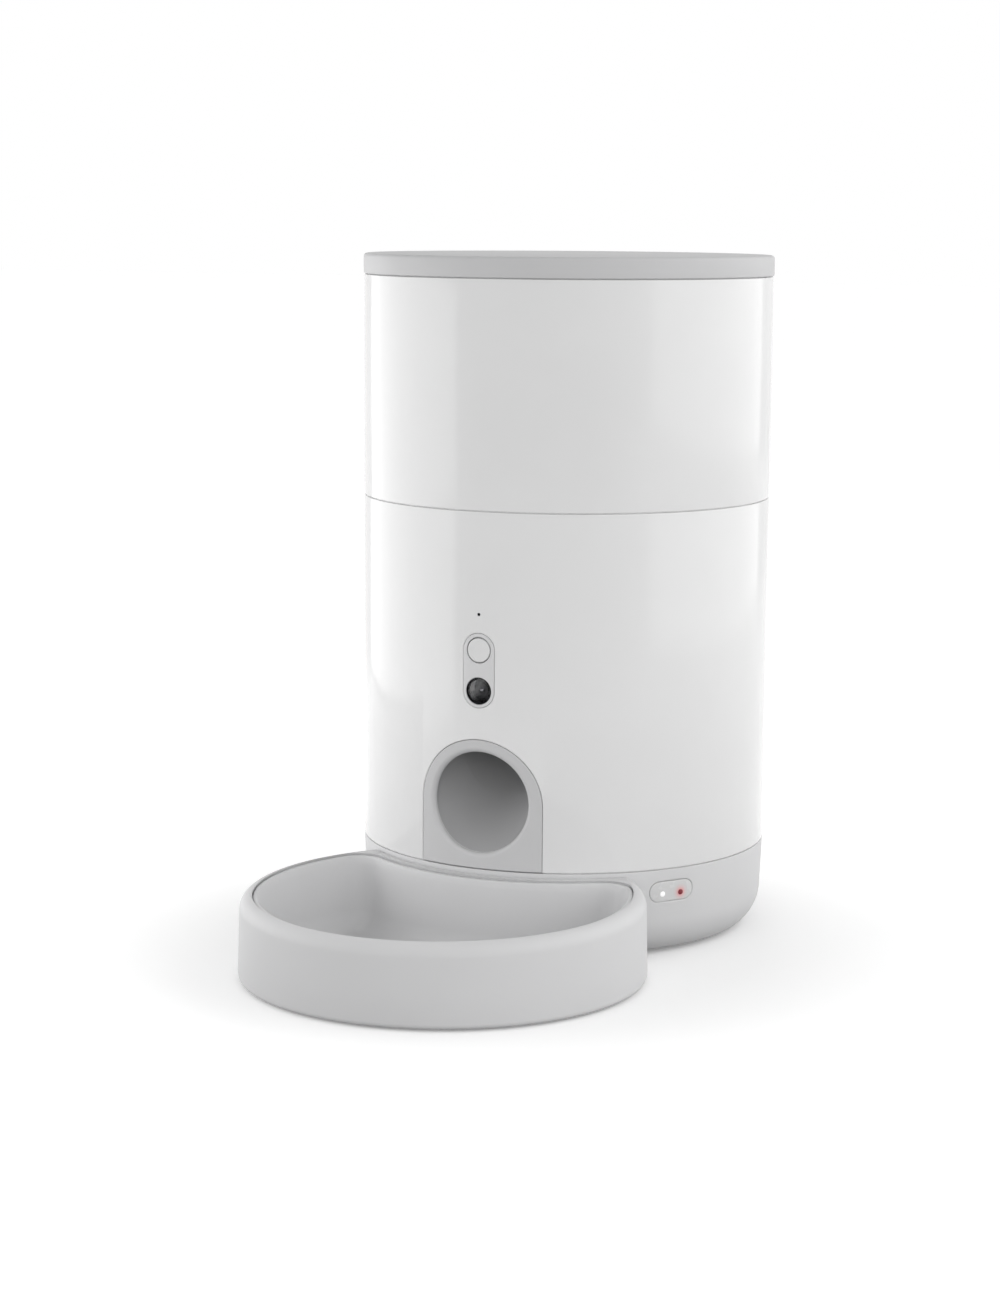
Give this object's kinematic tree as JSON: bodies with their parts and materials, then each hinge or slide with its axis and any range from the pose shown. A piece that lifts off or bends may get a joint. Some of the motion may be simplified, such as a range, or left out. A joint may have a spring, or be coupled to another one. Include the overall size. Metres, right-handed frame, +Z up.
{
  "type": "automatic pet feeder",
  "caption": "Round automatic pet feeder: lift-off lid and hopper over a motor-driven rotor and chute, camera panel with feed button, battery base and docking bowl.",
  "frame": {"origin": "on the floor, under the middle of the whole footprint", "axes": "+Z up, the outlet and the bowl face -Y, +X to the right as seen along +Y"},
  "size_m": [0.1968, 0.3249, 0.324],
  "materials": {
    "white_shell": "glossy white moulding",
    "grey_shell": "fine matte light grey moulding",
    "panel_grey": "satin light grey insert",
    "button_white": "satin white key",
    "inner_grey": "plain grey moulding",
    "silicone": "soft translucent silicone",
    "foot_rubber": "matte dark rubber",
    "black_gloss": "glossy black dome",
    "black_matte": "matte black moulding",
    "steel": "plain zinc-plated steel",
    "motor_steel": "plated motor can",
    "gearbox_metal": "die-cast housing",
    "cell_jacket": "plain printed-free cell jacket",
    "board_green": "solder-masked board",
    "window_clear": "translucent white insert",
    "led_white": "clear light guide, lit white",
    "led_red": "clear light guide, lit red"
  },
  "bodies": {
    "stand": {"body_shell": "white_shell", "outlet_panel": "grey_shell", "food_chute": "grey_shell", "drop_sensors": "black_matte", "camera_panel": "panel_grey", "camera_bezel": "black_matte", "camera_lens": "black_gloss", "camera_module": "black_matte", "camera_board": "board_green", "button_switch": "black_matte", "microphone": "black_matte", "motor_deck": "inner_grey", "deck_screws": "steel", "gearbox_case": "gearbox_metal", "motor_can": "motor_steel", "motor_screws": "steel", "main_board": "board_green", "board_chips": "black_matte", "board_screws": "steel", "speaker_driver": "black_matte", "speaker_grille": "white_shell", "base_shell": "grey_shell", "base_feet": "foot_rubber", "base_screws": "steel", "led_window": "window_clear", "white_led": "led_white", "red_led": "led_red", "led_board": "board_green", "power_inlet": "black_matte", "battery_cells": "cell_jacket", "battery_contacts": "steel"},
    "hopper": {"food_hopper": "white_shell", "dispensing_floor": "inner_grey", "portion_baffle": "inner_grey", "hopper_screws": "steel"},
    "lid": {"lid_cover": "grey_shell", "lid_seal": "silicone", "desiccant_box": "white_shell"},
    "rotor": {"rotor_hub": "inner_grey", "rotor_vanes": "silicone"},
    "coupler": {"drive_coupler": "inner_grey", "output_shaft": "steel"},
    "button": {"feed_button": "button_white"},
    "bowl": {"food_bowl": "grey_shell", "bowl_feet": "foot_rubber"},
    "battery_cover": {"battery_door": "grey_shell"}
  },
  "joints": [
    {"name": "hopper_lift", "type": "slide", "parent": "stand", "child": "hopper", "axis": [0, 0, 1], "range_m": [0, 0.1]},
    {"name": "lid_lift", "type": "slide", "parent": "hopper", "child": "lid", "axis": [0, 0, 1], "range_m": [0, 0.06]},
    {"name": "rotor_spin", "type": "hinge", "parent": "hopper", "child": "rotor", "pos_m": [0, 0.06405, 0.15], "axis": [0, 0, 1], "continuous": true},
    {"name": "coupler_spin", "type": "hinge", "parent": "stand", "child": "coupler", "pos_m": [0, 0.06405, 0.13], "axis": [0, 0, 1], "continuous": true},
    {"name": "feed_button_press", "type": "slide", "parent": "stand", "child": "button", "axis": [0, 1, 0], "range_m": [0, 0.001], "stiffness_N_per_m": 600, "springref_m": -0.0005},
    {"name": "bowl_slide", "type": "slide", "parent": "stand", "child": "bowl", "axis": [0, -1, 0], "range_m": [0, 0.1]},
    {"name": "battery_cover_drop", "type": "slide", "parent": "stand", "child": "battery_cover", "axis": [0, 0, -1], "range_m": [0, 0.03]}
  ],
  "couplings": [
    {"joint": "coupler_spin", "follows": "rotor_spin", "ratio": 1}
  ]
}
